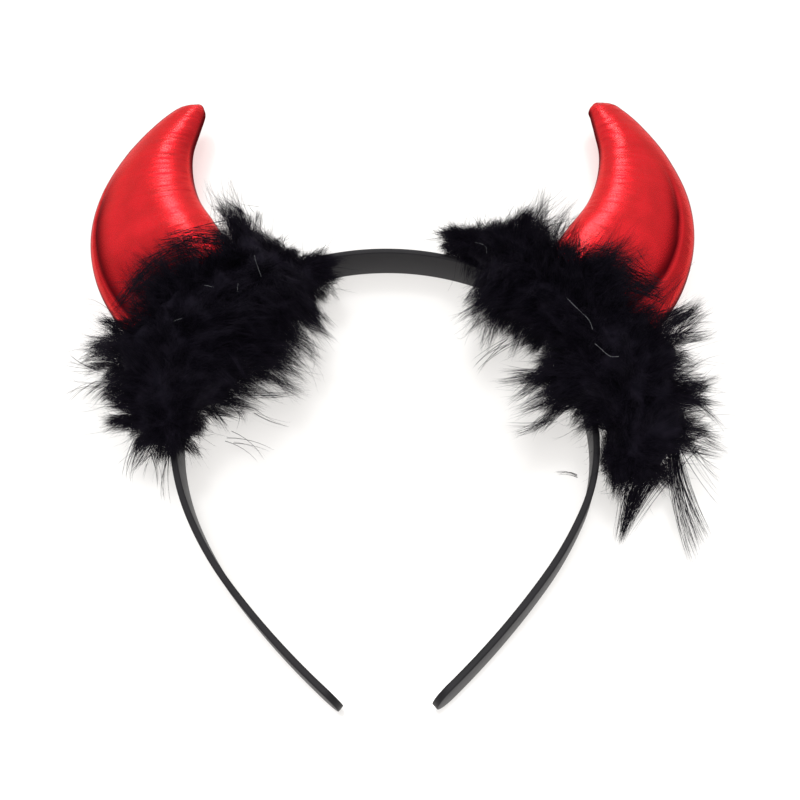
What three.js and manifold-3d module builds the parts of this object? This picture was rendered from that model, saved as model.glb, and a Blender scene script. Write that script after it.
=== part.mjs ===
// Devil horns headband: a flat plastic band with two stuffed fabric horns and a marabou trim
// round the foot of each horn. Millimetres, +Z up. The headband lies on its side, as on a table:
// the floor is z = 0, the arch is in the XY plane and its open end points along -Y.
// The origin is on the band's lower edge, at the top of the arch.
import * as THREE from 'three';
import { mergeVertices } from 'three/addons/utils/BufferGeometryUtils.js';
import Module from 'manifold-3d';

const wasm = await Module();
wasm.setup();

// Shared
const CLEARANCE = 0.3;

// Headband
const BAND_WIDTH = 12;
const BAND_THICKNESS = 2;
const BAND_CHAMFER = 0.4;
const BAND_HALF_SPAN = 64;
const BAND_LEAN = 4;
const BAND_TIP_ROUND = 6;
const BAND_STEPS = 30;
const TIP_STEPS = 5;
const TIP_TURN = 82;
const FRAME_STEP = 0.5;

// One half of the arch from its top to its tip, as arcs that follow each other:
// radius as a share of BAND_HALF_SPAN, sweep in degrees.
const BAND_ARCS = [
  { radius: 1.27, sweep: 30 },
  { radius: 0.58, sweep: 35 },
  { radius: 1.38, sweep: 25 },
  { radius: 1.02, sweep: 26 },
  { radius: 1.78, sweep: 12 },
  { radius: 3.8, sweep: 11 },
];

// The arms stand BAND_LEAN to the right of the top, which they reach between these two depths
// below it, as shares of BAND_HALF_SPAN.
const LEAN_START = 0.3;
const LEAN_END = 1.48;

// Horns
const HORN_LENGTH = 96;
const HORN_PUFF = 21;
const HORN_SEAM_HEIGHT = 8.5;
const SEAM_WIDTH = 0.9;
const SEAM_THICKNESS = 1.6;
const HORN_STEPS = 17;

// How full the padding is: 0.5 is round from seam to seam, and more is flatter near the seams.
const FRONT_FULLNESS = 0.5;
const BACK_FULLNESS = 1.5;

// Height of what cuts the solids: the floor under the trims and the inside of the arch.
const CUTTER_DEPTH = HORN_LENGTH;

// The crescent from its foot to its tip. Out is measured from the band's outer face and along
// runs down the band, both as shares of HORN_LENGTH. Puff is the padding's share of HORN_PUFF.
const HORN_ROWS = [
  { outerOut: -0.05, outerAlong: 0.235, innerOut: -0.07, innerAlong: -0.2, puff: 0.62 },
  { outerOut: 0.1, outerAlong: 0.195, innerOut: 0.014, innerAlong: -0.254, puff: 0.82 },
  { outerOut: 0.272, outerAlong: 0.142, innerOut: 0.108, innerAlong: -0.31, puff: 0.97 },
  { outerOut: 0.432, outerAlong: 0.046, innerOut: 0.211, innerAlong: -0.37, puff: 1 },
  { outerOut: 0.562, outerAlong: -0.095, innerOut: 0.314, innerAlong: -0.429, puff: 0.96 },
  { outerOut: 0.645, outerAlong: -0.267, innerOut: 0.4, innerAlong: -0.51, puff: 0.86 },
  { outerOut: 0.678, outerAlong: -0.453, innerOut: 0.467, innerAlong: -0.607, puff: 0.72 },
  { outerOut: 0.672, outerAlong: -0.63, innerOut: 0.506, innerAlong: -0.711, puff: 0.55 },
  { outerOut: 0.643, outerAlong: -0.758, innerOut: 0.534, innerAlong: -0.789, puff: 0.38 },
  { outerOut: 0.593, outerAlong: -0.817, innerOut: 0.564, innerAlong: -0.822, puff: 0.16 },
];

// A horn's cross-section from edge to edge: where its points lie between the two seams.
const HORN_ACROSS = [0, 0.05, 0.16, 0.33, 0.5, 0.67, 0.84, 0.95, 1];

// Marabou trims. The core and the locks get slimmer where the down is short.
const TRIM_CORE_RADIUS = 10;
const TRIM_CORE_SHARE = 0.66;
const TRIM_SPREAD = 36;
const TRIM_LIFT = 4;
const LOCK_WIDTH = 18;
const LOCK_STOUTNESS = 1.35;
const LOCK_BELLY = 0.55;
const LOCK_SCATTER = 0.16;
const LOCK_SWAY = 0.25;
const LOCK_START = 0.25;
const LOCK_TIP_HEIGHT = 0.5;
const LOCK_ROWS = 8;
const LOCK_SIDES = 5;
const CORE_SIDES = 8;

// What is added to a lock's number to scatter its length and its sway apart from each other.
const LENGTH_SEED = 0.5;
const SWAY_SEED = 0.25;

// The locks that close each end: their turns from the band's direction, and how far they reach
// along it as a share of TRIM_SPREAD and down to the floor as a share of the core's height.
const END_TURNS = [-35, 0, 35];
const END_REACH = 0.26;
const END_DROP = 0.33;

// Tips of the locks round the trim's core. Side runs from -1 inwards to 1 outwards, as a share of
// the reach there. Rise is a share of the reach upwards, or where negative of the way to the floor.
const LOCK_FAN = [
  { side: 0.55, rise: -1 },
  { side: 0.92, rise: -0.72 },
  { side: 1, rise: 0.1 },
  { side: 0.72, rise: 0.68 },
  { side: 0, rise: 1 },
  { side: -0.72, rise: 0.68 },
  { side: -1, rise: 0.1 },
  { side: -0.92, rise: -0.72 },
  { side: -0.55, rise: -1 },
];

// Each side: where the horn is seated along the half band, its size against HORN_LENGTH, how
// slim it is, and the trim's course. Along is a share of the half band; lift is how much higher
// than TRIM_LIFT its core lies, as a share of HORN_PUFF; the rest are shares of TRIM_SPREAD.
const SIDES = [
  {
    name: 'left',
    sign: -1,
    seat: 0.304,
    length: 1,
    slim: 1,
    trim: [
      { along: 0.125, out: -0.14, lift: -0.1, outReach: 0.02, inReach: 0.44, upReach: 0.14 },
      { along: 0.15, out: -0.04, lift: 0.05, outReach: 0.3, inReach: 0.76, upReach: 0.26 },
      { along: 0.19, out: 0, lift: 0.1, outReach: 0.82, inReach: 0.94, upReach: 0.5 },
      { along: 0.225, out: 0, lift: 0.05, outReach: 0.18, inReach: 1, upReach: 0.4 },
      { along: 0.265, out: 0, lift: 0.1, outReach: 0.32, inReach: 1.02, upReach: 0.5 },
      { along: 0.3, out: 0, lift: 0.15, outReach: 0.54, inReach: 1.04, upReach: 0.55 },
      { along: 0.335, out: 0, lift: 0.2, outReach: 0.42, inReach: 1.08, upReach: 0.6 },
      { along: 0.4, out: 0, lift: 0.15, outReach: 0.9, inReach: 0.92, upReach: 0.6 },
      { along: 0.45, out: 0, lift: 0.05, outReach: 0.68, inReach: 0.74, upReach: 0.52 },
      { along: 0.48, out: 0, lift: 0, outReach: 0.58, inReach: 0.34, upReach: 0.42 },
      { along: 0.5, out: 0, lift: -0.1, outReach: 0.48, inReach: 0.28, upReach: 0.3 },
    ],
  },
  {
    name: 'right',
    sign: 1,
    seat: 0.353,
    length: 1.02,
    slim: 0.95,
    trim: [
      { along: 0.155, out: 0.14, lift: -0.05, outReach: 0.24, inReach: 0.02, upReach: 0.2 },
      { along: 0.19, out: 0.12, lift: 0.1, outReach: 0.3, inReach: 0.14, upReach: 0.36 },
      { along: 0.22, out: 0.1, lift: 0.1, outReach: 0.48, inReach: 0.54, upReach: 0.48 },
      { along: 0.25, out: 0.08, lift: 0.15, outReach: 0.44, inReach: 0.66, upReach: 0.5 },
      { along: 0.29, out: 0.04, lift: 0.2, outReach: 0.36, inReach: 0.54, upReach: 0.55 },
      { along: 0.34, out: 0.06, lift: 0.25, outReach: 0.86, inReach: 0.42, upReach: 0.6 },
      { along: 0.38, out: 0.12, lift: 0.25, outReach: 0.42, inReach: 0.32, upReach: 0.6 },
      { along: 0.42, out: 0.2, lift: 0.2, outReach: 0.98, inReach: 0.36, upReach: 0.6 },
      { along: 0.46, out: 0.26, lift: 0.1, outReach: 1.06, inReach: 0.74, upReach: 0.6 },
      { along: 0.485, out: 0.26, lift: 0.05, outReach: 1, inReach: 0.56, upReach: 0.58 },
      { along: 0.515, out: 0.26, lift: 0, outReach: 0.98, inReach: 0.14, upReach: 0.52 },
      { along: 0.545, out: 0.24, lift: -0.05, outReach: 1, inReach: 0, upReach: 0.4 },
      { along: 0.565, out: 0.22, lift: -0.15, outReach: 0.78, inReach: 0, upReach: 0.26 },
    ],
  },
];

// Materials
const satinPlastic = new THREE.MeshStandardMaterial({ color: 0x2b292b, roughness: 0.45 });
const redLame = new THREE.MeshStandardMaterial({ color: 0xd9202c, roughness: 0.3, metalness: 0.5 });
const blackDown = new THREE.MeshStandardMaterial({ color: 0x0c090f, roughness: 1 });

// Helpers

const radians = THREE.MathUtils.degToRad;

// Repeatable scatter between -1 and 1.
function scatter(seed) {
  const wave = Math.sin(seed * 12.9898 + 4.1) * 43758.5453;
  return 2 * (wave - Math.floor(wave)) - 1;
}

// One column of a table, read at a place between its rows.
function readColumn(rows, key, column, place) {
  const last = rows.length - 1;
  const next = rows.findIndex((row) => row[key] > place);
  if (next === 0) return rows[0][column];
  if (next === -1) return rows[last][column];
  const [low, high] = [rows[next - 1], rows[next]];
  return THREE.MathUtils.mapLinear(place, low[key], high[key], low[column], high[column]);
}

function middleOf(ring) {
  return ring.reduce((sum, point) => sum.add(point), new THREE.Vector3()).divideScalar(ring.length);
}

// A closed body through rings of equal length, closed at each end over a middle point.
function loft(rings, startPoint = middleOf(rings[0]), endPoint = middleOf(rings.at(-1))) {
  const size = rings[0].length;
  const points = [...rings.flat(), startPoint, endPoint];
  const start = points.length - 2;
  const end = points.length - 1;
  const faces = [];
  for (let side = 0; side < size; side += 1) {
    const next = (side + 1) % size;
    faces.push(start, next, side);
    for (let ring = 0; ring < rings.length - 1; ring += 1) {
      const here = ring * size;
      const there = here + size;
      faces.push(here + side, here + next, there + next);
      faces.push(here + side, there + next, there + side);
    }
    const lastRing = (rings.length - 1) * size;
    faces.push(end, lastRing + side, lastRing + next);
  }
  const geometry = new THREE.BufferGeometry().setFromPoints(points);
  geometry.setIndex(faces);
  return geometry;
}

function toSolid(geometry) {
  const bare = geometry.clone();
  bare.deleteAttribute('normal');
  bare.deleteAttribute('uv');
  const merged = mergeVertices(bare);
  const vertProperties = Float32Array.from(merged.attributes.position.array);
  const triVerts = Uint32Array.from(merged.index.array);
  return new wasm.Manifold(new wasm.Mesh({ numProp: 3, vertProperties, triVerts }));
}

function toMesh(name, solid, material) {
  const { vertProperties, triVerts } = solid.getMesh();
  const geometry = new THREE.BufferGeometry();
  geometry.setAttribute('position', new THREE.BufferAttribute(vertProperties, 3));
  geometry.setIndex(new THREE.BufferAttribute(triVerts, 1));
  geometry.computeVertexNormals();
  const mesh = new THREE.Mesh(geometry, material);
  mesh.name = name;
  return mesh;
}

function largestPart(solid) {
  return solid.decompose().reduce((best, part) => (part.volume() > best.volume() ? part : best));
}

// Headband

const ARC_LENGTHS = BAND_ARCS.map((arc) => arc.radius * BAND_HALF_SPAN * radians(arc.sweep));
const HALF_LENGTH = ARC_LENGTHS.reduce((sum, length) => sum + length, 0);

// How far the arch has moved to the right at a depth below its top.
function leanAt(y) {
  const depth = -y / BAND_HALF_SPAN;
  return BAND_LEAN * THREE.MathUtils.smoothstep(depth, LEAN_START, LEAN_END);
}

// The middle of the band's thickness at a length from the top, on one side.
function bandMiddle(sign, length) {
  let heading = 0;
  let left = length;
  const place = new THREE.Vector2();
  BAND_ARCS.forEach((arc, index) => {
    const radius = arc.radius * BAND_HALF_SPAN;
    const isLast = index === BAND_ARCS.length - 1;
    const step = isLast ? left : Math.min(left, ARC_LENGTHS[index]);
    const turned = heading + step / radius;
    place.x += radius * (Math.sin(turned) - Math.sin(heading));
    place.y += radius * (Math.cos(turned) - Math.cos(heading));
    heading = turned;
    left -= step;
  });
  return new THREE.Vector2(sign * place.x + leanAt(place.y), place.y);
}

// A place on the half band with the directions down the band and out of the arch.
function bandFrame(sign, length) {
  const middle = bandMiddle(sign, length);
  const before = bandMiddle(sign, length - FRAME_STEP);
  const down = bandMiddle(sign, length + FRAME_STEP).sub(before).normalize();
  const out = new THREE.Vector2(-down.y, down.x).multiplyScalar(sign);
  return { middle, down, out };
}

function bandPlace(sign, length, out) {
  const frame = bandFrame(sign, length);
  return frame.middle.addScaledVector(frame.out, out);
}

// Stations along one half: the length from the top and the band's half width there.
function bandStations(grow) {
  const stations = [];
  const straight = HALF_LENGTH - BAND_TIP_ROUND;
  for (let step = 0; step <= BAND_STEPS; step += 1) {
    stations.push({ length: (straight * step) / BAND_STEPS, half: BAND_WIDTH / 2 + grow });
  }
  for (let step = 1; step <= TIP_STEPS; step += 1) {
    const turn = radians((TIP_TURN * step) / TIP_STEPS);
    stations.push({
      length: straight + (BAND_TIP_ROUND + grow) * Math.sin(turn),
      half: (BAND_WIDTH / 2) * Math.cos(turn) + grow,
    });
  }
  return stations;
}

function bandRing(sign, station, grow) {
  const deep = BAND_THICKNESS / 2 + grow;
  const tall = station.half;
  const corner = Math.min(BAND_CHAMFER, tall / 2);
  const outline = [
    [deep - corner, -tall],
    [deep, corner - tall],
    [deep, tall - corner],
    [deep - corner, tall],
    [corner - deep, tall],
    [-deep, tall - corner],
    [-deep, corner - tall],
    [corner - deep, -tall],
  ];
  return outline.map(([out, up]) => {
    const place = bandPlace(sign, station.length, out);
    return new THREE.Vector3(place.x, place.y, BAND_WIDTH / 2 + up);
  });
}

function bandSolid(grow = 0) {
  const stations = bandStations(grow);
  const left = stations.slice(1).reverse();
  const rings = [
    ...left.map((station) => bandRing(-1, station, grow)),
    ...stations.map((station) => bandRing(1, station, grow)),
  ];
  return toSolid(loft(rings));
}

// Everything inside the band's outer face, grown by the clearance that the horns keep.
function archFill() {
  const face = BAND_THICKNESS / 2 + CLEARANCE;
  const lengths = bandStations(0).map((station) => station.length);
  const right = lengths.map((length) => bandPlace(1, length, face));
  const left = lengths.slice(1).map((length) => bandPlace(-1, length, face)).reverse();
  const shape = new THREE.Shape([...left, ...right].reverse());
  const fill = new THREE.ExtrudeGeometry(shape, { depth: 2 * CUTTER_DEPTH, bevelEnabled: false });
  return toSolid(fill.translate(0, 0, -CUTTER_DEPTH));
}

// Horns

// The horn's outline and padding at a share of the way from its foot to its tip.
function hornStation(side, share) {
  const seatLength = side.seat * HALF_LENGTH;
  const seat = bandFrame(side.sign, seatLength);
  const face = BAND_THICKNESS / 2;
  const size = HORN_LENGTH * side.length;
  const place = (out, along) => {
    const point = seat.middle.clone();
    point.addScaledVector(seat.out, face + out * size);
    return point.addScaledVector(seat.down, along * size);
  };
  const curve = (out, along) => new THREE.SplineCurve(HORN_ROWS.map((row) => place(row[out], row[along])));
  const outer = curve('outerOut', 'outerAlong').getPoint(share);
  const inner = curve('innerOut', 'innerAlong').getPoint(share);
  const middle = outer.clone().add(inner).multiplyScalar(0.5);
  outer.sub(middle).multiplyScalar(side.slim).add(middle);
  inner.sub(middle).multiplyScalar(side.slim).add(middle);
  const puffs = new THREE.SplineCurve(HORN_ROWS.map((row, index) => new THREE.Vector2(index, row.puff)));
  return { outer, inner, puff: puffs.getPoint(share).y * HORN_PUFF };
}

// Half the padding's height between the two seams, from the flat seam edge up to the crown.
function hornProfile(puff, across, fullness) {
  const seam = SEAM_THICKNESS / 2;
  const bow = Math.max(0, 1 - (2 * across - 1) ** 2) ** fullness;
  return seam + Math.max(0, puff / 2 - seam) * bow;
}

// One ring of a horn. Layer is front, back or whole; grow makes it larger all round.
function hornRing(side, share, layer, grow) {
  const { outer, inner, puff } = hornStation(side, share);
  const width = outer.distanceTo(inner);
  const across = outer.clone().sub(inner).divideScalar(width);
  const rim = Math.min(SEAM_WIDTH, width / 4);
  const seam = [
    { point: outer.clone().addScaledVector(across, grow), height: SEAM_THICKNESS / 2 },
    { point: inner.clone().addScaledVector(across, -grow), height: SEAM_THICKNESS / 2 },
  ];
  const first = outer.clone().addScaledVector(across, -rim);
  const last = inner.clone().addScaledVector(across, rim);
  const panel = (fullness) => {
    const crown = HORN_ACROSS.map((step) => ({
      point: first.clone().lerp(last, step),
      height: hornProfile(puff, step, fullness),
    }));
    return [seam[0], ...crown, seam[1]];
  };
  const above = panel(FRONT_FULLNESS).map(({ point, height }) =>
    new THREE.Vector3(point.x, point.y, HORN_SEAM_HEIGHT + height + grow));
  const below = panel(BACK_FULLNESS).map(({ point, height }) =>
    new THREE.Vector3(point.x, point.y, Math.max(0, HORN_SEAM_HEIGHT - height) - grow)).reverse();
  const seamLine = (height) => [seam[1], seam[0]].map(({ point }) =>
    new THREE.Vector3(point.x, point.y, height));
  if (layer === 'front') return [...above, ...seamLine(HORN_SEAM_HEIGHT + CLEARANCE / 2)];
  if (layer === 'back') return [...seamLine(HORN_SEAM_HEIGHT - CLEARANCE / 2).reverse(), ...below];
  return [...above, ...below];
}

function hornSolid(side, layer, grow = 0) {
  const rings = [];
  for (let step = 0; step <= HORN_STEPS; step += 1) {
    rings.push(hornRing(side, step / HORN_STEPS, layer, grow));
  }
  if (side.sign > 0) rings.forEach((ring) => ring.reverse());
  return toSolid(loft(rings));
}

// Marabou trims

// A tapered lock of down: a fat belly between the core and a sharp tip.
function lockSolid(root, tip) {
  const width = Math.min(LOCK_WIDTH, LOCK_STOUTNESS * root.distanceTo(tip));
  const axis = tip.clone().sub(root).normalize();
  const side = new THREE.Vector3(0, 0, 1).cross(axis);
  if (side.lengthSq() < 0.01) side.set(1, 0, 0);
  side.normalize();
  const cross = axis.clone().cross(side);
  const ringAt = (share, radius) => {
    const middle = root.clone().lerp(tip, share);
    return Array.from({ length: LOCK_SIDES }, (_, corner) => {
      const turn = (2 * Math.PI * corner) / LOCK_SIDES;
      const point = middle.clone().addScaledVector(side, radius * Math.cos(turn));
      return point.addScaledVector(cross, radius * Math.sin(turn));
    });
  };
  return toSolid(loft([ringAt(0, width / 3), ringAt(LOCK_BELLY, width / 2)], root, tip));
}

// The trim's core and how far its locks reach at a share of the half band.
function trimStation(side, along) {
  const read = (column) => readColumn(side.trim, 'along', column, along);
  const frame = bandFrame(side.sign, along * HALF_LENGTH);
  const out = read('out') * TRIM_SPREAD;
  const height = BAND_WIDTH + TRIM_LIFT + read('lift') * HORN_PUFF;
  const middle = frame.middle.clone().addScaledVector(frame.out, out);
  return {
    core: new THREE.Vector3(middle.x, middle.y, height),
    out: new THREE.Vector3(frame.out.x, frame.out.y, 0),
    down: new THREE.Vector3(frame.down.x, frame.down.y, 0),
    outReach: read('outReach') * TRIM_SPREAD - out,
    inReach: read('inReach') * TRIM_SPREAD + out,
    upReach: read('upReach') * TRIM_SPREAD,
  };
}

function trimLocks(side) {
  const [first, last] = [side.trim[0].along, side.trim.at(-1).along];
  const locks = [];
  for (let row = 0; row < LOCK_ROWS; row += 1) {
    LOCK_FAN.forEach((lock, column) => {
      const seed = (row * LOCK_FAN.length + column) * side.sign;
      const stagger = (column % 2) / 2;
      const along = first + ((last - first) * (row + stagger + LOCK_START)) / LOCK_ROWS;
      const station = trimStation(side, along);
      const length = 1 + LOCK_SCATTER * scatter(seed + LENGTH_SEED);
      const sideReach = lock.side > 0 ? station.outReach : station.inReach;
      const upReach = lock.rise > 0 ? station.upReach : station.core.z;
      const tip = station.core.clone();
      tip.addScaledVector(station.out, length * lock.side * sideReach);
      tip.addScaledVector(station.down, LOCK_SWAY * TRIM_SPREAD * scatter(seed + SWAY_SEED));
      tip.z = Math.max(tip.z + length * lock.rise * upReach, LOCK_TIP_HEIGHT);
      locks.push(lockSolid(station.core, tip));
    });
  }
  return locks;
}

// The locks that close the trim's two ends, pointing along the band.
function endLocks(side) {
  const ends = [
    { along: side.trim[0].along, toward: -1 },
    { along: side.trim.at(-1).along, toward: 1 },
  ];
  return ends.flatMap(({ along, toward }) => END_TURNS.map((turn) => {
    const station = trimStation(side, along);
    const angle = radians(turn);
    const tip = station.core.clone();
    tip.addScaledVector(station.down, END_REACH * TRIM_SPREAD * toward * Math.cos(angle));
    tip.addScaledVector(station.out, END_REACH * TRIM_SPREAD * Math.sin(angle));
    tip.z -= END_DROP * station.core.z;
    return lockSolid(station.core, tip);
  }));
}

function coreSolid(side) {
  const rings = side.trim.map(({ along }) => {
    const { core, out, outReach, inReach } = trimStation(side, along);
    const radius = Math.min(TRIM_CORE_RADIUS, (TRIM_CORE_SHARE * (outReach + inReach)) / 2);
    return Array.from({ length: CORE_SIDES }, (_, corner) => {
      const turn = (2 * Math.PI * corner * side.sign) / CORE_SIDES;
      const point = core.clone().addScaledVector(out, radius * Math.cos(turn));
      point.z += radius * Math.sin(turn);
      return point;
    });
  });
  return toSolid(loft(rings));
}

function floorSolid() {
  const size = 6 * HORN_LENGTH;
  const block = new THREE.BoxGeometry(size, size, CUTTER_DEPTH);
  return toSolid(block.translate(0, 0, -CUTTER_DEPTH / 2));
}

function trimSolid(side) {
  const down = wasm.Manifold.union([coreSolid(side), ...trimLocks(side), ...endLocks(side)]);
  const room = wasm.Manifold.union([
    bandSolid(CLEARANCE),
    hornSolid(side, 'whole', CLEARANCE),
    floorSolid(),
  ]);
  return largestPart(down.subtract(room));
}

// Assembly

const model = new THREE.Group();
model.add(toMesh('headband', bandSolid(), satinPlastic));
for (const side of SIDES) {
  const front = hornSolid(side, 'front').subtract(archFill());
  const back = hornSolid(side, 'back').subtract(archFill());
  model.add(toMesh(`${side.name}_horn_front`, largestPart(front), redLame));
  model.add(toMesh(`${side.name}_horn_back`, largestPart(back), redLame));
  model.add(toMesh(`${side.name}_marabou_trim`, trimSolid(side), blackDown));
}

export default model;
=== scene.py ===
"""Looks of the devil horns headband, in metres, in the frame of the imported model.

The headband lies on its side on a glossy white surface. The band, the two stuffed horns and the
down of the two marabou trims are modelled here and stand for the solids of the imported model.
"""

import math

import bpy
import numpy as np
from mathutils import Matrix, Vector


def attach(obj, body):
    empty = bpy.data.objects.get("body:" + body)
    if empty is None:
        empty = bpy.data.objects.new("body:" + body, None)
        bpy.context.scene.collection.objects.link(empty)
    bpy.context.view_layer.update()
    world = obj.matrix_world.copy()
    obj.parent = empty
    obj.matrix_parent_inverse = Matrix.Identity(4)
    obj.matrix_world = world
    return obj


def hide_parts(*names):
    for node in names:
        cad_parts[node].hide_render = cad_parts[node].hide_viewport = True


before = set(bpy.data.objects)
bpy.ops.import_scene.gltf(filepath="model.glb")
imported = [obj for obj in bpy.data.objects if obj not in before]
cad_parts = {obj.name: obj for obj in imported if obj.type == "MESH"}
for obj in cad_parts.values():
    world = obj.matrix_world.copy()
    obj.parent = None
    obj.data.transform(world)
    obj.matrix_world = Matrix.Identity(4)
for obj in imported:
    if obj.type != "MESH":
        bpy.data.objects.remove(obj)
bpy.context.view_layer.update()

MM = 0.001

# Band, as in the model: sizes in millimetres, arcs as (radius / half span, sweep in degrees)
BAND_WIDTH = 12
BAND_THICKNESS = 2
BAND_HALF_SPAN = 64
BAND_LEAN = 4
BAND_TIP_ROUND = 6
BAND_EDGE_ROUND = 0.5
LEAN_START = 0.3
LEAN_END = 1.48
BAND_ARCS = ((1.27, 30), (0.58, 35), (1.38, 25), (1.02, 26), (1.78, 12), (3.8, 11))

# Horns, as in the model. A row holds the outer and the inner edge, each as (out, down) from the
# seat, and then the padding, as shares of HORN_LENGTH and HORN_PUFF. The rows run from foot to tip.
HORN_LENGTH = 96
HORN_PUFF = 21
HORN_SEAM_HEIGHT = 8.5
SEAM_THICKNESS = 1.6
FRONT_FULLNESS = 0.5
BACK_FULLNESS = 1.5
HORN_ROWS = (
    (-0.05, 0.235, -0.07, -0.2, 0.62),
    (0.1, 0.195, 0.014, -0.254, 0.82),
    (0.272, 0.142, 0.108, -0.31, 0.97),
    (0.432, 0.046, 0.211, -0.37, 1),
    (0.562, -0.095, 0.314, -0.429, 0.96),
    (0.645, -0.267, 0.4, -0.51, 0.86),
    (0.678, -0.453, 0.467, -0.607, 0.72),
    (0.672, -0.63, 0.506, -0.711, 0.55),
    (0.643, -0.758, 0.534, -0.789, 0.38),
    (0.593, -0.817, 0.564, -0.822, 0.16),
)

# Form of the horns over their rows: the run is the curve's length as a share of HORN_LENGTH, and
# a pair of shares is where a form fades, along the horn from foot to tip or across it from the
# outer edge to the inner one
HORN_RUN = 1.48
HORN_MESH = (300, 69)
HORN_START = 0.015
RIM_FADE = (0.46, 0.66)
RIM_FADE_ACROSS = (0.2, 0.5)
FLARE_FADE = (0.05, 0.4)
SEAM_ROUND = 0.4
TIP_START = 0.86
TIP_DOME = 1.7
TIP_SETBACK = 0.8
REST_HEIGHT = 0.1
REST_SOFTNESS = 0.8

# Wrinkles of the horns, as (height, grain along, grain across) in millimetres
SEAM_PUCKERS = (0.1, 1.5, 6)
GATHERS = (0.3, 9, 3.4)
SMALL_GATHERS = (0.08, 4, 1.6)
DENTS = (0.3, 15, 11)
BARS = (0.09, 1.5, 9)
CRUSH = (0.25, 2.4, 1.3)
GATHER_FADE = (0.14, 0.36)
HIGHLIGHT_MIDDLE = 0.68
HIGHLIGHT_WIDTH = 0.16
GLINT_LENGTH = 0.04
GLINT_WIDTH = 0.1

# How dark the foil is, from 0 to 1: a dark seam line along the seam, and painted shade in a crease,
# beside it and at the foot
SEAM_DARK = 0.95
SEAM_LINE = 0.55
CREASE_PAINTED_SHADE = 0.6
BESIDE_PAINTED_SHADE = 0.95
BESIDE_START = (-0.5, 0.3)
BESIDE_WIDTH = 3.2
FOOT_PAINTED_SHADE = 0.85
FOOT_FADE = (0.18, 0.38)
FOOT_FADE_ACROSS = (0.6, 0.8)
FOOT_INSET = (4, 11)

# Trims, as in the model: along is a share of the half band, lift of HORN_PUFF, the rest of
# TRIM_SPREAD. The columns are along, out, lift, out reach, in reach and up reach.
TRIM_SPREAD = 36
TRIM_LIFT = 4
LEFT_TRIM = (
    (0.125, -0.14, -0.1, 0.02, 0.44, 0.14),
    (0.15, -0.04, 0.05, 0.3, 0.76, 0.26),
    (0.19, 0, 0.1, 0.82, 0.94, 0.5),
    (0.225, 0, 0.05, 0.18, 1, 0.4),
    (0.265, 0, 0.1, 0.32, 1.02, 0.5),
    (0.3, 0, 0.15, 0.54, 1.04, 0.55),
    (0.335, 0, 0.2, 0.42, 1.08, 0.6),
    (0.4, 0, 0.15, 0.9, 0.92, 0.6),
    (0.45, 0, 0.05, 0.68, 0.74, 0.52),
    (0.48, 0, 0, 0.58, 0.34, 0.42),
    (0.5, 0, -0.1, 0.48, 0.28, 0.3),
)
RIGHT_TRIM = (
    (0.155, 0.14, -0.05, 0.24, 0.02, 0.2),
    (0.19, 0.12, 0.1, 0.3, 0.14, 0.36),
    (0.22, 0.1, 0.1, 0.48, 0.54, 0.48),
    (0.25, 0.08, 0.15, 0.44, 0.66, 0.5),
    (0.29, 0.04, 0.2, 0.36, 0.54, 0.55),
    (0.34, 0.06, 0.25, 0.86, 0.42, 0.6),
    (0.38, 0.12, 0.25, 0.42, 0.32, 0.6),
    (0.42, 0.2, 0.2, 0.98, 0.36, 0.6),
    (0.46, 0.26, 0.1, 1.06, 0.74, 0.6),
    (0.485, 0.26, 0.05, 1, 0.56, 0.58),
    (0.515, 0.26, 0, 0.98, 0.14, 0.52),
    (0.545, 0.24, -0.05, 1, 0, 0.4),
    (0.565, 0.22, -0.15, 0.78, 0, 0.26),
)

# Strands that stand out one by one, in fans. Each place is (share of the half band, millimetres
# out of the band, height): the root, the first tip and the last tip; then how far the strands
# bend aside, how widely their roots are spread, and how many they are.
LEFT_STRANDS = (
    ((0.507, 12, 8), (0.547, 19, 2), (0.559, 15, 1), 2, 1.5, 7),
    ((0.518, 8, 7), (0.562, 9, 1), (0.576, 7, 1), -1.5, 1.5, 9),
    ((0.53, 3, 6), (0.588, 8, 1), (0.599, 5, 1), 1.5, 1.2, 9),
    ((0.415, 26, 12), (0.394, 39, 10), (0.415, 41, 8), -2, 1.5, 5),
    ((0.25, 12, 28), (0.3, 27, 24), (0.34, 23, 26), 2, 5, 70),
    ((0.22, 10, 26), (0.25, 30, 22), (0.29, 27, 24), 2, 5, 60),
    ((0.3, 16, 28), (0.35, 27, 22), (0.37, 22, 24), 1.5, 5, 70),
    ((0.432, 27, 10), (0.435, 40, 6), (0.455, 36, 4), 3, 1.5, 6),
    ((0.461, -24, 5), (0.472, -36, 1), (0.495, -34, 1), 2, 2, 7),
    ((0.518, -16, 5), (0.547, -30, 1), (0.576, -24, 1), -2, 2, 7),
)
RIGHT_STRANDS = (
    ((0.53, 25, 9), (0.544, 37.5, 7), (0.601, 38.5, 3), 2.5, 2, 22),
    ((0.535, 23, 9), (0.625, 37, 2), (0.66, 34, 1), 4, 1.8, 90),
    ((0.545, 19, 9), (0.662, 13.5, 1), (0.67, 12, 1), 2, 8, 240),
    ((0.484, 29, 14), (0.538, 33.5, 8), (0.541, 34.5, 8), 11, 0.8, 3),
    ((0.415, 28, 15), (0.389, 46, 15), (0.394, 44, 12), 2.5, 0.6, 3),
    ((0.31, 16, 26), (0.29, 28, 24), (0.34, 31, 24), 1.5, 5, 90),
    ((0.35, 20, 28), (0.36, 35, 22), (0.4, 31, 22), 1.5, 6, 130),
    ((0.323, -14, 6), (0.288, -27, 1), (0.346, -28, 1), 2, 2, 8),
    ((0.484, -10, 4), (0.461, -26, 1), (0.495, -24, 1), -2, 2, 7),
    ((0.584, -4.7, 0.4), (0.579, -11.7, 0.4), (0.585, -10.5, 0.4), 1.5, 0.5, 6),
)

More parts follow.
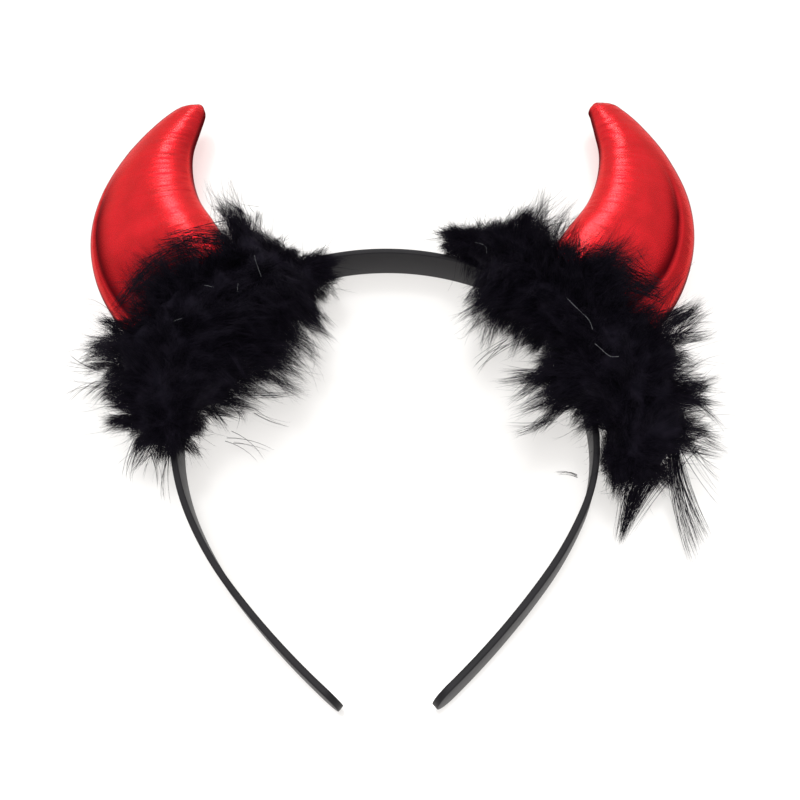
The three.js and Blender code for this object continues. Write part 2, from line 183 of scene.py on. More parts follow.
# Threads of clear glue over the down, as places (share of the trim's length, turn in degrees)
LEFT_GLUE = (
    ((0.36, 112), (0.4, 116)),
    ((0.19, 104), (0.2, 108), (0.21, 116)),
    ((0.48, 106), (0.5, 102)),
    ((0.69, 101), (0.72, 98)),
)
RIGHT_GLUE = (
    ((0.03, 128), (0.07, 134), (0.11, 136)),
    ((0.55, 118), (0.62, 114), (0.69, 108)),
    ((0.75, 106), (0.79, 103), (0.8, 98)),
)

# The sides. The rim of a horn is how boxy its lower outer edge is. Its crease is how far it lies
# from there, its depth and its width, and it flares from there towards the foot. The tip is how
# round the horn's end is. The glints are the places where the foil is crushed most.
SIDES = (
    dict(name="left", sign=-1, seat=0.304, length=1, slim=1, seed=11, trim=LEFT_TRIM,
         strands=LEFT_STRANDS, glue=LEFT_GLUE, rim=0.42, crease=(3.3, 0.6, 0.6), flare=0.3,
         tip=0, glints=((0.19, 0.8), (0.13, 0.12))),
    dict(name="right", sign=1, seat=0.353, length=1.02, slim=0.95, seed=23, trim=RIGHT_TRIM,
         strands=RIGHT_STRANDS, glue=RIGHT_GLUE, rim=0.4, crease=(6.4, 0.9, 1), flare=0.8,
         tip=0.5, glints=((0.22, 0.93), (0.25, 0.88))),
)

# Down: a closed heart, and tufts of barbs that lean together in clumps. Turns are in degrees,
# courses and roots are shares, and lengths are millimetres, or shares of the reach for tufts.
ALL_TURNS = (-75, 255)
ALL_COURSE = (-0.1, 1.1)
GOLDEN_SHARE = 0.618034
END_REACH = 0.3
END_COURSE = 0.1
SKIN_LUMPS = 0.12
HEART = 0.56
HEART_LUMPS = 0.1
HEART_MESH = 90
CLUMPS = 130
CLUMP_REACH = (0.92, 1.3)
CLUMP_PULL = (0.05, 0.95)
TUFTS = 1420
TUFT_BARBS = 48
TUFT_STEPS = 4
TUFT_PIECES = 3
TUFT_ROOT = 0.36
TUFT_REACH = (0.6, 0.94)
TUFT_SPREAD = 2.6
TUFT_SWAY = 0.16
TUFT_BEND = 0.09
TUFT_LIFT = 0.1
BARB_WIDTH = 0.13
BARB_CURL = 0.7
STRAY_SHARE = 0.12

# Down beyond the tufts: single wisps, a veil of pointed locks over the horn, and the strands
WISPS = 1300
WISP_ROOT = (0.5, 0.85)
WISP_REACH = (-3, 6)
WISP_SCATTER = 2.6
WISP_BEND = 0.1
WISP_DROOP = 1.5
VEIL_LOCKS = 64
VEIL_BARBS = 34
VEIL_ROOT = 0.6
VEIL_REACH = (3, 13)
VEIL_TURNS = (18, 62)
VEIL_COURSE = (0.16, 0.62)
VEIL_SWAY = 4.5
VEIL_BEND = 2
VEIL_SPREAD = 3.2
VEIL_BARB_BEND = 1.5
VEIL_TIP = 0.9
STRAND_WIDTH = 0.26
STRAND_TIP = 0.35
STRAND_TAPER = 0.04
LONG_STEPS = 7
GLUE_RADIUS = 0.028
GLUE_DEPTH = 0.94
GLUE_CORNERS = 6
FLOOR_GAP = 0.25
HORN_GAP = 0.3

# Camera, solved from the photo's perspective of the band
CAMERA_PLACE = (23.07, -201.0, 282.0)
CAMERA_TARGET = (7.81, -50.4, 0.0)
CAMERA_ROLL = 7.12
CAMERA_LENS = 45
CAMERA_SENSOR = 36

# Stage: where the bright wall is, as a turn from +Y towards +X, and the two lights
WINDOW_TURN = math.radians(-12)
WINDOW_LIGHT = dict(place=(-40, 480, 330), target=(0, 0, 0), size=130, power=0.35)
CEILING_LIGHT = dict(place=(0, -60, 900), target=(0, -50, 0), size=260, power=1.1)
FLOOR_HALF = 3000


# Arrays and meshes


def spline(points, share):
    """A Catmull-Rom curve through points, read at shares from 0 to 1."""
    points = np.asarray(points, float)
    place = np.clip(np.asarray(share, float), 0, 1) * (len(points) - 1)
    index = np.minimum(place.astype(int), len(points) - 2)
    t = (place - index)[..., None]
    p1, p2 = points[index], points[index + 1]
    v1 = (p2 - points[np.maximum(index - 1, 0)]) / 2
    v2 = (points[np.minimum(index + 2, len(points) - 1)] - p1) / 2
    cubic = 2 * p1 - 2 * p2 + v1 + v2
    square = -3 * p1 + 3 * p2 - 2 * v1 - v2
    return cubic * t**3 + square * t**2 + v1 * t + p1


def unit(vectors):
    """The vectors at length one."""
    return vectors / np.maximum(np.linalg.norm(vectors, axis=-1, keepdims=True), 1e-12)


def smoothstep(value, low, high):
    """0 below low, 1 above high, and a smooth rise between."""
    t = np.clip((np.asarray(value, float) - low) / (high - low), 0, 1)
    return t * t * (3 - 2 * t)


def fall(value, low, high):
    """1 below low, 0 above high, and a smooth fall between."""
    return smoothstep(-np.asarray(value, float), -high, -low)


def read_table(rows, column, place):
    """A column of a table at places between its rows, easing in and out of each row."""
    index = np.clip(np.searchsorted(rows[:, 0], place) - 1, 0, len(rows) - 2)
    low, high = rows[index], rows[index + 1]
    share = smoothstep((place - low[:, 0]) / (high[:, 0] - low[:, 0]), 0, 1)
    return low[:, column] + (high[:, column] - low[:, column]) * share


def bell(value, middle, width):
    """1 at the middle, falling off smoothly on both sides."""
    return np.exp(-(((value - middle) / width) ** 2))


def noise(u, v, seed):
    """Smooth noise from -1 to 1 over a plane, with a grain of one unit."""
    iu, iv = np.floor(u), np.floor(v)
    fu, fv = u - iu, v - iv
    fu, fv = fu * fu * (3 - 2 * fu), fv * fv * (3 - 2 * fv)

    def corner(du, dv):
        wave = np.sin((iu + du) * 12.71 + (iv + dv) * 31.17 + seed * 7.47) * 43758.5453
        return 2 * (wave - np.floor(wave)) - 1

    low = corner(0, 0) * (1 - fu) + corner(1, 0) * fu
    high = corner(0, 1) * (1 - fu) + corner(1, 1) * fu
    return low * (1 - fv) + high * fv


def make_mesh(name, points, face_sets, material):
    """A smooth mesh from points in millimetres and sets of faces, each of one size."""
    loops = np.concatenate([faces.ravel() for faces in face_sets]).astype(np.int32)
    sizes = np.concatenate([np.full(len(faces), faces.shape[1]) for faces in face_sets])
    starts = np.concatenate([[0], np.cumsum(sizes)[:-1]]).astype(np.int32)
    mesh = bpy.data.meshes.new(name)
    mesh.vertices.add(len(points))
    mesh.vertices.foreach_set("co", (np.asarray(points) * MM).astype(np.float32).ravel())
    mesh.loops.add(len(loops))
    mesh.loops.foreach_set("vertex_index", loops)
    mesh.polygons.add(len(starts))
    mesh.polygons.foreach_set("loop_start", starts)
    mesh.polygons.foreach_set("use_smooth", np.ones(len(starts), bool))
    mesh.update(calc_edges=True)
    mesh.materials.append(material)
    piece = bpy.data.objects.new(name, mesh)
    bpy.context.scene.collection.objects.link(piece)
    return piece


def loft(name, rings, material):
    """A closed skin through rings of points, with a point at the middle of each end."""
    rows, columns = rings.shape[:2]
    row = np.arange(rows - 1)[:, None] * columns
    column = np.arange(columns)[None, :]
    following = (column + 1) % columns
    quads = [row + column, row + following, row + columns + following, row + columns + column]
    walls = np.stack(quads, axis=-1).reshape(-1, 4)
    start = rows * columns
    column, following = column[0], following[0]
    last = (rows - 1) * columns
    first_cap = np.stack([np.full(columns, start), following, column], axis=-1)
    last_cap = np.stack([np.full(columns, start + 1), last + column, last + following], axis=-1)
    middles = [rings[0].mean(axis=0), rings[-1].mean(axis=0)]
    points = np.vstack([rings.reshape(-1, 3), middles])
    return make_mesh(name, points, [walls, np.vstack([first_cap, last_cap])], material)


def add_values(piece, name, values):
    """One number for each point of a mesh, for its material to read."""
    attribute = piece.data.attributes.new(name, "FLOAT", "POINT")
    attribute.data.foreach_set("value", np.asarray(values, np.float32).ravel())


# Materials


def new_nodes(tree):
    """A function that adds a node to a tree, with its inputs set or linked."""

    def add(kind, inputs=None, **settings):
        node = tree.nodes.new(kind)
        for key, value in settings.items():
            setattr(node, key, value)
        for key, value in (inputs or {}).items():
            if isinstance(value, bpy.types.NodeSocket):
                tree.links.new(value, node.inputs[key])
            else:
                node.inputs[key].default_value = value
        return node

    return add


def new_material(name, **numbers):
    """A node material, with plain numbers set on its Principled shader's own inputs."""
    material = bpy.data.materials.new(name)
    material.use_nodes = True
    tree = material.node_tree
    shader = tree.nodes["Principled BSDF"]
    for key, value in numbers.items():
        shader.inputs[key.replace("_", " ")].default_value = value

    def link(source, target):
        tree.links.new(source, shader.inputs[target])

    return material, new_nodes(tree), link


def ramp(add, factor, *stops):
    """A colour ramp's colour, from stops of (position, colour)."""
    node = add("ShaderNodeValToRGB", {"Fac": factor})
    elements = node.color_ramp.elements
    while len(elements) < len(stops):
        elements.new(0.5)
    for element, (position, colour) in zip(elements, stops):
        element.position = position
        element.color = (*colour, 1)
    return node.outputs["Color"]


def plastic_material():
    """Satin black moulded plastic, finely grained and a little rubbed."""
    material, add, link = new_material("satin_black_plastic", Specular_IOR_Level=0.26)
    place = add("ShaderNodeTexCoord").outputs["Object"]
    grain = add("ShaderNodeTexNoise", {"Vector": place, "Scale": 4200, "Detail": 3}).outputs["Fac"]
    wear = add("ShaderNodeTexNoise", {"Vector": place, "Scale": 160, "Detail": 4}).outputs["Fac"]
    link(ramp(add, wear, (0.3, (0.011, 0.01, 0.012)), (0.75, (0.019, 0.017, 0.02))), "Base Color")
    rough = add("ShaderNodeMapRange", {"Value": wear, "To Min": 0.4, "To Max": 0.55})
    link(rough.outputs["Result"], "Roughness")
    bump = add("ShaderNodeBump", {"Height": grain, "Strength": 0.35, "Distance": 0.00006})
    link(bump.outputs["Normal"], "Normal")
    return material


def foil_material():
    """Red foil fabric: metallic, with fine puckers across it, a dark seam line, and painted shade in
    its creases, beside them, at its foot and where it turns from view.
    """
    material, add, link = new_material("red_foil_fabric", Specular_IOR_Level=0, Coat_Roughness=0.24,
                                       Specular_Tint=(0.9, 0.2, 0.22, 1))

    def attribute(name):
        return add("ShaderNodeAttribute", attribute_name=name).outputs["Fac"]

    def stretched(along_scale, across_scale, detail):
        sizes = (along_scale, across_scale, 1)
        vector = add("ShaderNodeVectorMath", {0: cloth, 1: sizes}, operation="MULTIPLY")
        inputs = {"Vector": vector.outputs["Vector"], "Scale": 1, "Detail": detail}
        return add("ShaderNodeTexNoise", inputs).outputs["Fac"]

    def bump(height, strength, distance, normal=None):
        inputs = {"Height": height, "Strength": strength, "Distance": distance}
        if normal:
            inputs["Normal"] = normal
        return add("ShaderNodeBump", inputs).outputs["Normal"]

    cloth = add("ShaderNodeCombineXYZ", {"X": attribute("along"), "Y": attribute("across")})
    cloth = cloth.outputs["Vector"]
    mottle = stretched(160, 160, 5)
    weave = stretched(2400, 2400, 2)
    tint = ramp(add, mottle, (0.3, (0.56, 0.002, 0.006)), (0.7, (0.7, 0.004, 0.011)))
    # Painted shade: darker where the foil turns away from view, and where the horn's numbers give
    # painted shade or the dark seam line; the dark colour below is that shade
    facing = add("ShaderNodeLayerWeight", {"Blend": 0.5}).outputs["Facing"]
    edge = {"Value": facing, "From Min": 0.72, "From Max": 0.92, "To Max": 0.9}
    edge = add("ShaderNodeMapRange", edge).outputs["Result"]
    shade = add("ShaderNodeMath", {0: attribute("dark_seam_and_painted_shade"), 1: edge}, operation="MAXIMUM").outputs["Value"]
    dark = add("ShaderNodeMix", {"Factor": shade, "A": tint, "B": (0.05, 0.0015, 0.004, 1)},
               data_type="RGBA")
    link(dark.outputs["Result"], "Base Color")
    coat = add("ShaderNodeMapRange", {"Value": shade, "To Min": 0.42, "To Max": 0})
    link(coat.outputs["Result"], "Coat Weight")
    metal = add("ShaderNodeMapRange", {"Value": shade, "To Min": 1, "To Max": 0.15})
    link(metal.outputs["Result"], "Metallic")
    rough = add("ShaderNodeMapRange", {"Value": weave, "To Min": 0.22, "To Max": 0.32})
    link(rough.outputs["Result"], "Roughness")
    puckers = stretched(400, 60, 2)
    gathers = stretched(130, 700, 3)
    crinkles = stretched(1500, 200, 3)
    normal = bump(puckers, attribute("pucker"), 0.0006)
    normal = bump(gathers, attribute("gather"), 0.0006, normal)
    normal = bump(crinkles, 0.4, 0.0001, normal)
    normal = bump(weave, 0.25, 0.00004, normal)
    link(normal, "Normal")
    return material


def down_material():
    """Black down, a touch bluer in places, with hardly any shine."""
    material, add, link = new_material("black_down", Roughness=0.8, Specular_IOR_Level=0.12)
    place = add("ShaderNodeTexCoord").outputs["Object"]
    tint = add("ShaderNodeTexNoise", {"Vector": place, "Scale": 420, "Detail": 2}).outputs["Fac"]
    link(ramp(add, tint, (0.35, (0.005, 0.0038, 0.009)), (0.7, (0.012, 0.009, 0.017))), "Base Color")
    return material


def glue_material():
    """Threads of hot glue, glossy and nearly clear."""
    numbers = dict(Base_Color=(0.7, 0.72, 0.75, 1), Roughness=0.12, Transmission_Weight=0.4)
    return new_material("clear_glue", **numbers)[0]


def floor_material():
    """A glossy white table top."""
    numbers = dict(Base_Color=(0.36, 0.355, 0.345, 1), Roughness=0.24, IOR=2.4,
                   Emission_Color=(1, 0.975, 0.95, 1), Emission_Strength=0.64)
    return new_material("glossy_white_surface", **numbers)[0]


# Band


ARC_LENGTHS = [share * BAND_HALF_SPAN * math.radians(sweep) for share, sweep in BAND_ARCS]
HALF_LENGTH = sum(ARC_LENGTHS)


def band_middle(sign, length):
    """Places on the middle of the band's thickness at lengths from the top, on one side."""
    left = np.asarray(length, float)
    heading = np.zeros_like(left)
    x = np.zeros_like(left)
    y = np.zeros_like(left)
    for index, (share, _sweep) in enumerate(BAND_ARCS):
        radius = share * BAND_HALF_SPAN
        last = index == len(BAND_ARCS) - 1
        step = left if last else np.minimum(left, ARC_LENGTHS[index])
        turned = heading + step / radius
        x = x + radius * (np.sin(turned) - np.sin(heading))
        y = y + radius * (np.cos(turned) - np.cos(heading))
        heading = turned
        left = left - step
    lean = BAND_LEAN * smoothstep(-y / BAND_HALF_SPAN, LEAN_START, LEAN_END)
    return np.stack([sign * x + lean, y], axis=-1)


def band_frame(sign, length):
    """Middle of the band, direction down it and direction out of the arch."""
    length = np.asarray(length, float)
    middle = band_middle(sign, length)
    down = unit(band_middle(sign, length + 0.5) - band_middle(sign, length - 0.5))
    out = np.stack([-down[..., 1], down[..., 0]], axis=-1) * sign
    return middle, down, out


def band_section(half):
    """The band's cross-section with rounded edges, as (out, up) from its middle."""
    deep = BAND_THICKNESS / 2
    radius = min(BAND_EDGE_ROUND, half * 0.9)
    turns = np.radians(np.linspace(0, 360, 24, endpoint=False) + 7.5)
    out = np.sign(np.cos(turns)) * (deep - radius) + radius * np.cos(turns)
    up = np.sign(np.sin(turns)) * (half - radius) + radius * np.sin(turns)
    return out, up


def build_band(material):
    """The band from tip to tip, one ring for each station."""
    straight = HALF_LENGTH - BAND_TIP_ROUND
    steps = 140
    turns = np.radians(np.linspace(0, 86, 14)[1:])
    tip = straight + BAND_TIP_ROUND * np.sin(turns)
    lengths = np.concatenate([np.linspace(0, straight, steps), tip])
    halves = BAND_WIDTH / 2 * np.concatenate([np.ones(steps), np.cos(turns)])
    stations = [(-1, *pair) for pair in zip(lengths[:0:-1], halves[:0:-1])]
    stations += [(1, *pair) for pair in zip(lengths, halves)]
    rings = []
    for sign, length, half in stations:
        middle, _down, outward = band_frame(sign, length)
        out, up = band_section(half)
        plan = middle + out[:, None] * outward
        rings.append(np.column_stack([plan, BAND_WIDTH / 2 + up]))
    return loft("band", np.array(rings), material)


# Horns


def horn_outline(side, share):
    """Outer and inner edge of a horn and its padding, at shares from its foot to its tip."""
    rows = np.array(HORN_ROWS, float)
    middle, down, out = band_frame(side["sign"], side["seat"] * HALF_LENGTH)
    size = HORN_LENGTH * side["length"]

    def edge(column):
        place = rows[:, column:column + 2] * size
        points = middle + (BAND_THICKNESS / 2 + place[:, :1]) * out + place[:, 1:] * down
        return spline(points, share)

    outer, inner = edge(0), edge(2)
    centre = (outer + inner) / 2
    swell = side["slim"] + side["tip"] * smoothstep(share, TIP_START, 1)
    outer = centre + (outer - centre) * swell[..., None]
    inner = centre + (inner - centre) * swell[..., None]
    puff = spline(rows[:, 4:5], share)[..., 0] * HORN_PUFF
    return outer, inner, puff


def outside_band(side, place):
    """Places moved out to the band's outer face where they lie within it."""
    lengths = np.linspace(0, HALF_LENGTH * 0.6, 160)
    middle, _down, out = band_frame(side["sign"], lengths)
    flat = place.reshape(-1, 2)
    nearest = ((flat[:, None] - middle[None]) ** 2).sum(axis=-1).argmin(axis=1)
    offset = ((flat - middle[nearest]) * out[nearest]).sum(axis=-1)
    missing = np.maximum(BAND_THICKNESS / 2 + HORN_GAP - offset, 0)
    return (flat + out[nearest] * missing[:, None]).reshape(place.shape)


def horn_grid(side, share, reach, fullness, rim):
    """Places and heights over the seam between the outer edge, at reach 0, and the inner, at 1."""
    outer, inner, puff = horn_outline(side, share)
    width = np.linalg.norm(outer - inner, axis=-1)
    edge = np.minimum(reach, 1 - reach) * width
    half = np.maximum(width / 2, 0.2)
    lower_outer = fall(reach, *RIM_FADE_ACROSS) * fall(share, *RIM_FADE)
    bow = np.clip(1 - (1 - edge / half) ** 2, 0, 1) ** (fullness + (rim - fullness) * lower_outer)
    seam = SEAM_THICKNESS / 2 * np.sqrt(np.clip(edge / SEAM_ROUND, 0, 1))
    height = seam + np.maximum(puff / 2 - SEAM_THICKNESS / 2, 0) * bow
    inset, depth, breadth = side["crease"]
    inset = inset * (1 + side["flare"] * fall(share, *FLARE_FADE))
    crease = lower_outer * bell(edge, inset, breadth)
    height = height - depth * crease
    # Painted shade beside the crease on the lower outer side, darkest just inside it and fading inwards
    beside = edge - inset
    shade = smoothstep(beside, *BESIDE_START) * bell(np.maximum(beside, 0), 0, BESIDE_WIDTH)
    last, before = (sum(horn_outline(side, np.array(end))[:2]) for end in (1, TIP_START))
    dome = side["tip"] * TIP_DOME * (4 * reach * (1 - reach) - TIP_SETBACK)
    dome = dome * smoothstep(share, TIP_START, 1)
    place = outside_band(side, outer + (inner - outer) * reach[..., None])
    place = place + unit(last - before) * dome[..., None]
    return dict(place=place, height=height, edge=edge, width=width, crease=crease,
                shade=lower_outer * shade)


def highlight_band(share, reach):
    """Where the cloth is drawn tight over the inner third, and puckers in fine bars."""
    return bell(reach, HIGHLIGHT_MIDDLE, HIGHLIGHT_WIDTH) * smoothstep(share, 0.16, 0.32)


def glint_places(side, share, reach):
    """Where the foil is crushed most, from 0 to 1."""
    places = np.zeros_like(share)
    for place, across in side["glints"]:
        places = places + bell(share, place, GLINT_LENGTH) * bell(reach, across, GLINT_WIDTH)
    return np.minimum(places, 1)


def horn_wrinkles(side, share, reach, grid, seed):
    """How the cloth puckers near its seams, gathers at its foot and dents over its stuffing."""
    run = share * HORN_LENGTH * HORN_RUN * side["length"]
    edge = grid["edge"]

    def wrinkle(kind, shift):
        height, along, across = kind
        return height * noise(run / along, edge / across, seed + shift)

    seam = wrinkle(SEAM_PUCKERS, 0) * bell(edge, 2.6, 1.6)
    gathers = (wrinkle(GATHERS, 2) + wrinkle(SMALL_GATHERS, 4)) * fall(share, *GATHER_FADE)
    dents = wrinkle(DENTS, 3) * smoothstep(edge, 3, 9)
    bars = wrinkle(BARS, 6) * highlight_band(share, reach)
    crush = wrinkle(CRUSH, 7) * glint_places(side, share, reach)
    fade = smoothstep(edge, 0.3, 1.6) * smoothstep(grid["width"], 2, 8)
    return (seam + gathers + dents + bars + crush) * fade


def foil_values(side, share, reach, grid):
    """Numbers for the foil over a horn: its run and width in metres, its dark seam line and painted
    shade, and how puckered and gathered it is."""
    edge = grid["edge"]
    lit = 1 - glint_places(side, share, reach)
    foot = fall(share, *FOOT_FADE) * smoothstep(edge, *FOOT_INSET) * fall(reach, *FOOT_FADE_ACROSS)
    # A dark seam line, and painted shade in the crease, beside it and at the foot, left out where the
    # foil is crushed
    dark_seam_and_painted_shade = np.maximum.reduce([
        SEAM_DARK * bell(edge, 0, SEAM_LINE),
        CREASE_PAINTED_SHADE * grid["crease"] * smoothstep(grid["width"], 0.5, 3),
        BESIDE_PAINTED_SHADE * grid["shade"] * lit,
        FOOT_PAINTED_SHADE * foot * lit,
    ])
    return dict(
        along=share * HORN_LENGTH * HORN_RUN * side["length"] * MM,
        across=edge * MM,
        dark_seam_and_painted_shade=dark_seam_and_painted_shade,
        pucker=0.2 + 0.7 * highlight_band(share, reach),
        gather=0.25 * fall(share, 0.22, 0.42) + 1.6 * (1 - lit),
    )


def build_horn(side, material):
    """A horn's front and back skin in one closed mesh, with the numbers that its foil reads."""
    share = np.linspace(HORN_START, 1, HORN_MESH[0])
    reach = (1 - np.cos(np.linspace(0, math.pi, HORN_MESH[1]))) / 2
    share_grid, reach_grid = np.meshgrid(share, reach, indexing="ij")
    grid = horn_grid(side, share_grid, reach_grid, FRONT_FULLNESS, side["rim"])
    back = horn_grid(side, share_grid, reach_grid, BACK_FULLNESS, BACK_FULLNESS)
    folds = horn_wrinkles(side, share_grid, reach_grid, grid, side["seed"])
    above = HORN_SEAM_HEIGHT + grid["height"] + folds
    folds = horn_wrinkles(side, share_grid, reach_grid, back, side["seed"] + 50)
    below = HORN_SEAM_HEIGHT - back["height"] - folds
    below = REST_HEIGHT + REST_SOFTNESS * np.logaddexp(0, (below - REST_HEIGHT) / REST_SOFTNESS)

    def ring(over, under):
        both = np.concatenate([over, under[:, -2:0:-1]], axis=1)
        return both[:, ::-1] if side["sign"] > 0 else both

    rings = ring(np.dstack([grid["place"], above]), np.dstack([grid["place"], below]))
    horn = loft(side["name"] + "_horn", rings, material)
    for name, value in foil_values(side, share_grid, reach_grid, grid).items():
        skin = ring(value, value)
        add_values(horn, name, np.concatenate([skin.ravel(), [skin[0].mean(), skin[-1].mean()]]))
    return horn


# Down


def trim_station(side, along):
    """The trim's core and its directions and reaches at shares of the half band."""
    rows = np.array(side["trim"], float)
    out_shift, lift, out_reach, in_reach, up_reach = (
        read_table(rows, column, along) for column in range(1, 6)
    )
    middle, down, out = band_frame(side["sign"], along * HALF_LENGTH)
    middle = middle + (out_shift * TRIM_SPREAD)[:, None] * out
    flat = np.zeros(len(along))
    return dict(
        core=np.column_stack([middle, BAND_WIDTH + TRIM_LIFT + lift * HORN_PUFF]),
        out=np.column_stack([out, flat]),
        down=np.column_stack([down, flat]),
        out_reach=(out_reach - out_shift) * TRIM_SPREAD,
        in_reach=(in_reach + out_shift) * TRIM_SPREAD,
        up_reach=up_reach * TRIM_SPREAD,
    )


def trim_skin(side, course, turn):
    """Core and skin of the down. Course runs from 0 to 1 along the trim and rounds its ends
    beyond, and turn goes round it, from 0 outwards over 90 degrees upwards."""
    first, last = side["trim"][0][0], side["trim"][-1][0]
    station = trim_station(side, first + (last - first) * np.clip(course, 0, 1))
    beyond = np.clip((course - np.clip(course, 0, 1)) / END_COURSE, -1, 1)
    cap = beyond * math.pi / 2
    cos, sin = np.cos(turn), np.sin(turn)
    side_reach = np.where(cos > 0, station["out_reach"], station["in_reach"])
    rise = np.where(sin > 0, station["up_reach"], station["core"][:, 2])
    squareness = np.where(sin > 0, 1.0, 0.7)
    across = np.sign(cos) * np.abs(cos) ** squareness * side_reach * np.cos(cap)
    upward = np.sign(sin) * np.abs(sin) ** squareness * rise * np.cos(cap) ** 0.5
    along = END_REACH * TRIM_SPREAD * np.sin(cap)
    lumps = 1 + SKIN_LUMPS * noise(course * 12, turn * 2.6, side["seed"])
    skin = station["core"] + lumps[:, None] * (
        station["out"] * across[:, None]
        + station["down"] * along[:, None]
        + np.array([0, 0, 1.0]) * upward[:, None]
    )
    return station["core"], skin, station


def height_map(side):
    """Heights of the horn's top and the band's edge over a fine grid, for the down to lie on."""
    share, reach = np.meshgrid(np.linspace(0, 1, 420), np.linspace(0, 1, 260), indexing="ij")
    grid = horn_grid(side, share, reach, FRONT_FULLNESS, side["rim"])
    horn_tops = HORN_SEAM_HEIGHT + grid["height"] + HORN_GAP
    middle, _down, out = band_frame(side["sign"], np.linspace(0, HALF_LENGTH, 900))
    offsets = np.linspace(-1.25, 1.25, 8)
    strip = middle[:, None] + offsets[None, :, None] * out[:, None]
    points = np.concatenate([grid["place"].reshape(-1, 2), strip.reshape(-1, 2)])
    tops = np.concatenate([horn_tops.ravel(), np.full(strip[..., 0].size, BAND_WIDTH + HORN_GAP)])
    cell = 0.5
    low = points.min(axis=0) - 1
    index = ((points - low) / cell).astype(int)
    heights = np.full(index.max(axis=0) + 2, FLOOR_GAP)
    np.maximum.at(heights, (index[:, 0], index[:, 1]), tops)
    return dict(heights=heights, low=low, cell=cell)


def lay_on(surface, points):
    """Points raised to the surface under them."""
    index = ((points[..., :2] - surface["low"]) / surface["cell"]).astype(int)
    limit = np.array(surface["heights"].shape) - 1
    inside = ((index >= 0) & (index <= limit)).all(axis=-1)
    index = np.clip(index, 0, limit)
    under = np.where(inside, surface["heights"][index[..., 0], index[..., 1]], FLOOR_GAP)
    raised = points.copy()
    raised[..., 2] = np.maximum(points[..., 2], under)
    return raised


def barb_mesh(name, lines, widths, twist, material):
    """Flat tapered barbs along lines of points, each ending in a point."""
    count, steps = lines.shape[:2]
    travel = unit(np.gradient(lines, axis=1))
    flat = unit(np.cross(travel, twist[:, None]))
    taper = np.linspace(1, 0.4, steps - 1)
    half = (widths[:, None] / 2 * taper)[..., None] * flat[:, :-1]
    pairs = np.stack([lines[:, :-1] - half, lines[:, :-1] + half], axis=2).reshape(count, -1, 3)
    points = np.concatenate([pairs, lines[:, -1:]], axis=1)
    size = points.shape[1]
    starts = (np.arange(count) * size)[:, None]
    quads = [starts + np.array([[a, a + 1, a + 3, a + 2]]) for a in range(0, 2 * steps - 4, 2)]
    tips = starts + np.array([[size - 3, size - 2, size - 1]])
    return make_mesh(name, points.reshape(-1, 3), [np.concatenate(quads), tips], material)


def spread_round(side, rng, count, turns=ALL_TURNS, course=ALL_COURSE):
    """Core, skin and station at places scattered evenly over a part of the trim."""
    share = (np.arange(count) + rng.random(count)) / count
    round_share = (np.arange(count) * GOLDEN_SHARE + rng.random(count) * 0.3) % 1
    place = course[0] + (course[1] - course[0]) * share
    turn = turns[0] + (turns[1] - turns[0]) * round_share
    return trim_skin(side, place, np.radians(turn))


def grow_tufts(side, rng, count):
    """Curves of the tufts: their roots in the heart, their bends and their tips, which lean
    towards the tip of the clump that they belong to."""
    clump_core, clump_skin, _station = spread_round(side, rng, CLUMPS)
    clump_tip = clump_core + (clump_skin - clump_core) * rng.uniform(*CLUMP_REACH, (CLUMPS, 1))
    core, skin, station = spread_round(side, rng, count)
    apart = np.linalg.norm(skin[:, None] - clump_skin[None], axis=-1)
    chosen = clump_tip[apart.argmin(axis=1)]
    tip = core + (skin - core) * rng.uniform(*TUFT_REACH, (count, 1))
    tip = tip + (chosen - tip) * rng.uniform(*CLUMP_PULL, (count, 1))
    length = np.linalg.norm(skin - core, axis=1)
    sway = rng.normal(0, TUFT_SWAY, count)
    tip = tip + station["down"] * (sway * length)[:, None]
    root = core + (skin - core) * TUFT_ROOT
    bend = (root + tip) / 2 + rng.normal(0, TUFT_BEND, (count, 3)) * length[:, None]
    bend[:, 2] += TUFT_LIFT * length
    return root, bend, tip


def curve_at(root, bend, tip, share):
    """Places on quadratic curves at shares of their length."""
    s = share[..., None]
    return root * (1 - s) ** 2 + 2 * bend * s * (1 - s) + tip * s**2


def comb_barbs(rng, tufts):
    """Barbs along each tuft, wide at its root and drawn together towards its tip."""
    root, bend, tip = (np.repeat(points, TUFT_BARBS, axis=0)[:, None] for points in tufts)
    count = len(root)
    start = rng.uniform(0, 0.7, count)
    end = start + (1.04 - start) * rng.uniform(0.55, 1, count)
    t = np.linspace(0, 1, TUFT_STEPS)[None]
    share = start[:, None] + (end - start)[:, None] * t
    middle = curve_at(root, bend, tip, share)
    axis = unit(tip - root)
    aside = unit(np.cross(axis, rng.normal(size=(count, 1, 3))))
    spread = TUFT_SPREAD * np.sqrt(rng.random(count))[:, None]
    draw = rng.uniform(0.4, 1, count)[:, None]
    stray = (rng.random(count) < STRAY_SHARE)[:, None] * rng.uniform(0.5, 1.6, count)[:, None]
    offset = spread * (1 - draw * share) + TUFT_SPREAD * stray * t**1.5
    curl = rng.normal(0, BARB_CURL, (count, 1, 3)) * (t**2)[..., None]
    return middle + aside * offset[..., None] + curl


def grow_wisps(side, rng):
    """Curves of single barbs that stand out of the down and droop."""
    core, skin, _station = spread_round(side, rng, WISPS)
    out = skin - core
    length = np.linalg.norm(out, axis=1, keepdims=True)
    root = core + out * rng.uniform(*WISP_ROOT, (WISPS, 1))
    tip = skin + unit(out) * rng.uniform(*WISP_REACH, (WISPS, 1))
    tip = tip + rng.normal(0, WISP_SCATTER, (WISPS, 3))
    bend = (root + tip) / 2 + rng.normal(0, WISP_BEND, (WISPS, 3)) * length
    tip[:, 2] -= WISP_DROOP
    return root, bend, tip


